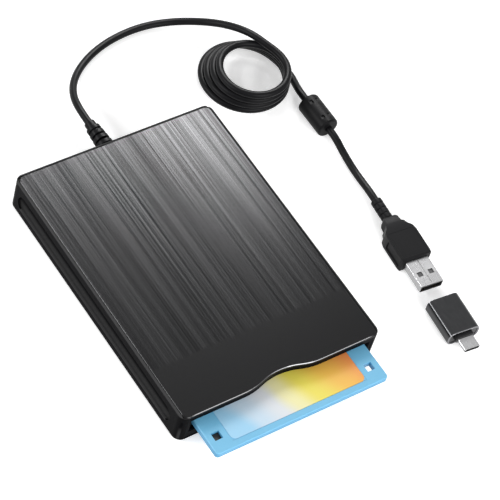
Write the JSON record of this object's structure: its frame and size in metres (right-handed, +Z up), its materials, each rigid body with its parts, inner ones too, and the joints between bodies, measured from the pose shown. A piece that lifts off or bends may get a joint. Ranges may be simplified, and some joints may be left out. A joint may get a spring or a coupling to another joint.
{
  "type": "external floppy disk drive",
  "caption": "Slim portable drive for 90 mm floppy disks, with a disk standing out of its slot, a coiled cord with ferrite bead and plug, and a plug adapter.",
  "frame": {"origin": "on the table, under the middle of the housing's plan", "axes": "+Z up, front with the disk slot towards -Y, +X to the right seen from the front"},
  "size_m": [0.1618, 0.2265, 0.0201],
  "materials": {
    "housing_plastic": "satin moulded plastic",
    "panel_metal": "brushed, dark, smooth along the front",
    "foot_rubber": "matte",
    "screw_steel": "black zinc",
    "lamp_lens": "clear green",
    "button_plastic": "satin",
    "sheet_steel": "zinc plated",
    "steel": "ground",
    "magnet": "sintered",
    "bearing_brass": "sintered bronze",
    "coil_copper": "enamelled wire",
    "board": "solder resist",
    "chip_black": "moulded",
    "flat_cable": "film",
    "head_plastic": "glass filled",
    "head_ceramic": "ceramic",
    "disk_blue": "fine grain",
    "tab_black": "satin",
    "label_paper": "printed gradient",
    "shutter_metal": "satin",
    "film": "magnetic film",
    "hub_steel": "satin",
    "cord_jacket": "satin vinyl",
    "ferrite_plastic": "matte",
    "ferrite_black": "sintered",
    "plug_nickel": "nickel",
    "tongue_plastic": "moulded",
    "contact_gold": "gold plated",
    "adapter_gunmetal": "glossy anodised",
    "adapter_black": "moulded"
  },
  "bodies": {
    "housing": {"bottom_cover": "housing_plastic", "top_cover": "housing_plastic", "top_panel": "panel_metal", "front_bezel": "housing_plastic", "rubber_feet": "foot_rubber", "case_screws": "screw_steel", "led_lens": "lamp_lens", "chassis_frame": "sheet_steel", "shield_cover": "sheet_steel", "motor_board": "board", "spindle_bearing": "bearing_brass", "stator_coils": "coil_copper", "guide_rod": "steel", "stepper_motor": "steel", "sensor_switches": "chip_black", "control_board": "board", "interface_board": "board", "board_chips": "chip_black", "ribbon_cable": "flat_cable", "eject_springs": "steel", "strain_relief": "cord_jacket", "cord_lead": "cord_jacket", "cord_coil": "cord_jacket", "cord_tail": "cord_jacket", "cord_span": "cord_jacket", "ferrite_sleeve": "ferrite_plastic", "ferrite_core": "ferrite_black", "plug_overmould": "cord_jacket", "usb_shell": "plug_nickel", "usb_tongue": "tongue_plastic", "usb_contacts": "contact_gold"},
    "slider": {"eject_slider": "sheet_steel", "eject_button": "button_plastic"},
    "cradle": {"disk_cradle": "sheet_steel"},
    "spindle": {"spindle_shaft": "steel", "spindle_rotor": "steel", "rotor_magnet": "magnet", "spindle_hub": "steel"},
    "carriage": {"head_carriage": "head_plastic", "lower_head": "head_ceramic"},
    "head_arm": {"upper_head_arm": "head_plastic", "upper_head": "head_ceramic"},
    "screw": {"lead_screw": "steel"},
    "lever": {"trigger_lever": "sheet_steel"},
    "flap": {"dust_flap": "housing_plastic"},
    "disk": {"disk_lower_shell": "disk_blue", "disk_upper_shell": "disk_blue", "disk_label": "label_paper"},
    "tab": {"write_tab": "tab_black"},
    "shutter": {"disk_shutter": "shutter_metal"},
    "medium": {"disk_medium": "film", "disk_hub": "hub_steel"},
    "adapter": {"adapter_body": "adapter_gunmetal", "adapter_socket": "adapter_black", "adapter_tongue": "adapter_black", "adapter_collar": "adapter_black", "adapter_plug": "plug_nickel", "adapter_blade": "adapter_black"}
  },
  "joints": [
    {"name": "eject_slide", "type": "slide", "parent": "housing", "child": "slider", "axis": [0, -1, 0], "range_m": [0, 0.0045]},
    {"name": "cradle_drop", "type": "slide", "parent": "housing", "child": "cradle", "axis": [0, 0, -1], "range_m": [0, 0.0022]},
    {"name": "disk_slide", "type": "slide", "parent": "cradle", "child": "disk", "axis": [0, 1, 0], "range_m": [-0.08, 0.019]},
    {"name": "spindle_spin", "type": "hinge", "parent": "housing", "child": "spindle", "pos_m": [0, -0.0215, 0.005], "axis": [0, 0, 1], "continuous": true},
    {"name": "head_travel", "type": "slide", "parent": "housing", "child": "carriage", "axis": [0, -1, 0], "range_m": [0, 0.015]},
    {"name": "screw_spin", "type": "hinge", "parent": "housing", "child": "screw", "pos_m": [-0.009, 0.03, 0.0092], "axis": [0, 1, 0], "range_deg": [0, 1440]},
    {"name": "arm_lift", "type": "hinge", "parent": "carriage", "child": "head_arm", "pos_m": [0, 0.044, 0.013], "axis": [1, 0, 0], "range_deg": [0, 4.9]},
    {"name": "lever_swing", "type": "hinge", "parent": "housing", "child": "lever", "pos_m": [0.03, 0.033, 0.008], "axis": [0, 0, 1], "range_deg": [-25, 0]},
    {"name": "flap_swing", "type": "hinge", "parent": "housing", "child": "flap", "pos_m": [0, -0.0653, 0.014], "axis": [1, 0, 0], "range_deg": [0, 15]},
    {"name": "shutter_slide", "type": "slide", "parent": "disk", "child": "shutter", "axis": [1, 0, 0], "range_m": [0, 0.019], "stiffness_N_per_m": 30, "springref_m": -0.005},
    {"name": "tab_slide", "type": "slide", "parent": "disk", "child": "tab", "axis": [0, 1, 0], "range_m": [0, 0.0045]},
    {"name": "medium_spin", "type": "hinge", "parent": "disk", "child": "medium", "pos_m": [0, -0.0405, 0.011], "axis": [0, 0, 1], "continuous": true},
    {"name": "adapter_pull", "type": "slide", "parent": "housing", "child": "adapter", "axis": [-0.0872, -0.9962, 0], "range_m": [-0.023, 0.03]}
  ],
  "couplings": [
    {"joint": "cradle_drop", "follows": "eject_slide", "ratio": 0.48889},
    {"joint": "arm_lift", "follows": "eject_slide", "rad_per_m": 18.826},
    {"joint": "screw_spin", "follows": "head_travel", "rad_per_m": 1675.5}
  ]
}
